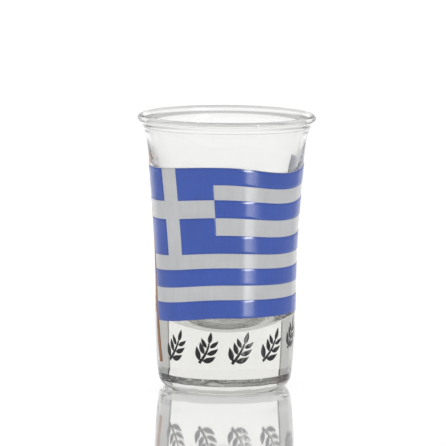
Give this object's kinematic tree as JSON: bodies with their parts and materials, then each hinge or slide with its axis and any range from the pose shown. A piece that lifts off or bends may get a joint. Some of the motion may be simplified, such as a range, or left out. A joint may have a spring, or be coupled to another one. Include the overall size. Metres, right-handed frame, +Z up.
{
  "type": "shot glass",
  "caption": "Clear shot glass with a flared rim, a heavy solid base and a printed band: a waving blue and white striped flag on a pole, with olive sprigs below.",
  "frame": {"origin": "centre of the foot, on the surface that the glass stands on", "axes": "+Z up through the mouth, -Y towards the middle of the printed design, +X to the design's right"},
  "size_m": [0.0474, 0.0474, 0.073],
  "materials": {
    "clear_glass": "clear, fire-polished",
    "white_enamel": "fired screen-print enamel, gloss",
    "blue_enamel": "fired screen-print enamel, gloss",
    "brown_enamel": "fired screen-print enamel, satin",
    "black_enamel": "fired brush-drawn enamel, gloss"
  },
  "bodies": {
    "root": {"glass_body": "clear_glass", "white_flag_ground": "white_enamel", "blue_canton_upper_hoist": "blue_enamel", "blue_canton_upper_fly": "blue_enamel", "blue_canton_lower_hoist": "blue_enamel", "blue_canton_lower_fly": "blue_enamel", "blue_middle_stripe": "blue_enamel", "blue_seventh_stripe": "blue_enamel", "blue_bottom_stripe": "blue_enamel", "flagpole": "brown_enamel", "sprig_1": "black_enamel", "sprig_2": "black_enamel", "sprig_3": "black_enamel", "sprig_4": "black_enamel", "sprig_5": "black_enamel", "sprig_6": "black_enamel"}
  },
  "joints": []
}
